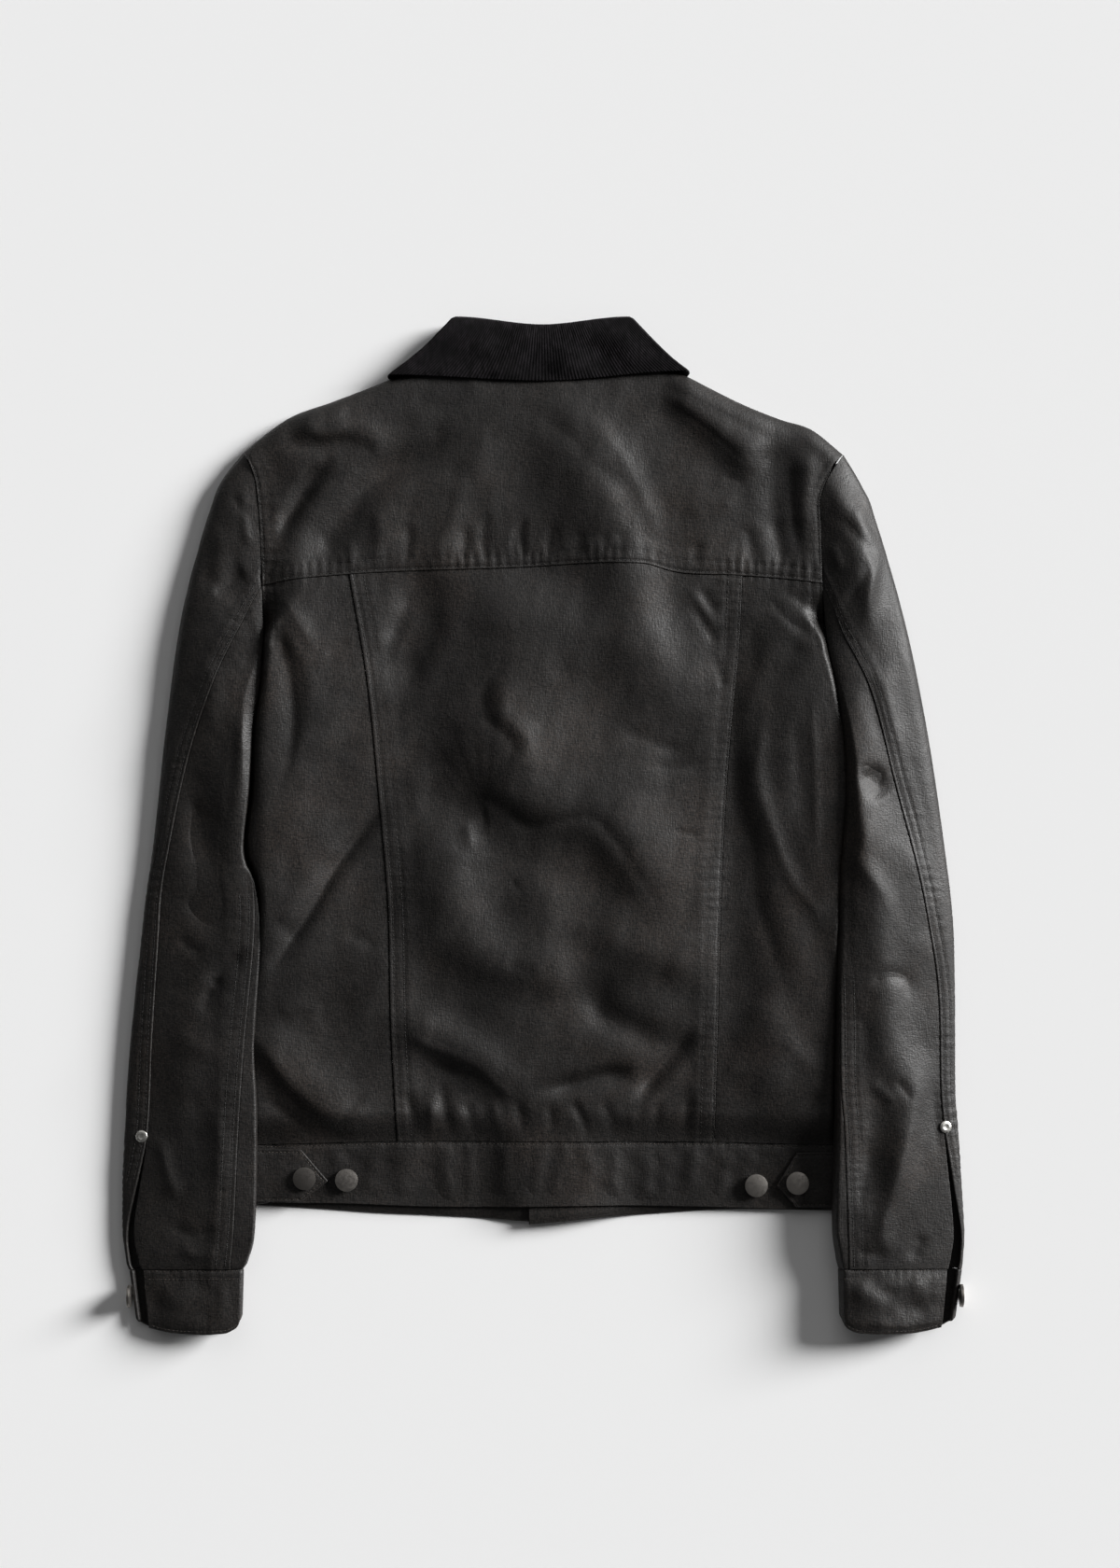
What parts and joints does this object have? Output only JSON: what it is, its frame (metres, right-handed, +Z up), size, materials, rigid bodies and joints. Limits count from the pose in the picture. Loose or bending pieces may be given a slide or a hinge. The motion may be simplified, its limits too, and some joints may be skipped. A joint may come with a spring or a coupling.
{
  "type": "waxed cotton jacket",
  "caption": "Short waxed cotton trucker jacket with a corduroy collar, lying flat and face down with its back and its long sleeves showing.",
  "frame": {"origin": "centre of the bounding box on the table the jacket lies on", "axes": "+X to the wearer's right, +Y along the back to the collar, +Z up from the table through the fronts to the back"},
  "size_m": [0.6326, 0.7634, 0.0278],
  "materials": {
    "waxed_cotton": "waxed, soft mottled sheen",
    "corduroy": "fine-wale corduroy, matt",
    "gunmetal": "antique silver"
  },
  "bodies": {
    "root": {"back_center": "waxed_cotton", "back_side_left": "waxed_cotton", "back_side_right": "waxed_cotton", "button_band_left": "gunmetal", "button_band_right": "gunmetal", "button_tab_left": "gunmetal", "button_tab_right": "gunmetal", "collar": "corduroy", "cuff_button_left": "gunmetal", "cuff_button_right": "gunmetal", "cuff_left": "waxed_cotton", "cuff_right": "waxed_cotton", "front_button_1": "gunmetal", "front_button_2": "gunmetal", "front_button_3": "gunmetal", "front_button_4": "gunmetal", "front_button_5": "gunmetal", "front_button_6": "gunmetal", "front_button_7": "gunmetal", "front_left": "waxed_cotton", "front_right": "waxed_cotton", "rivet_left": "gunmetal", "rivet_right": "gunmetal", "sleeve_top_left": "waxed_cotton", "sleeve_top_right": "waxed_cotton", "sleeve_under_left": "waxed_cotton", "sleeve_under_right": "waxed_cotton", "tab_left": "waxed_cotton", "tab_right": "waxed_cotton", "waistband_back": "waxed_cotton", "waistband_front_left": "waxed_cotton", "waistband_front_right": "waxed_cotton", "yoke": "waxed_cotton"}
  },
  "joints": []
}
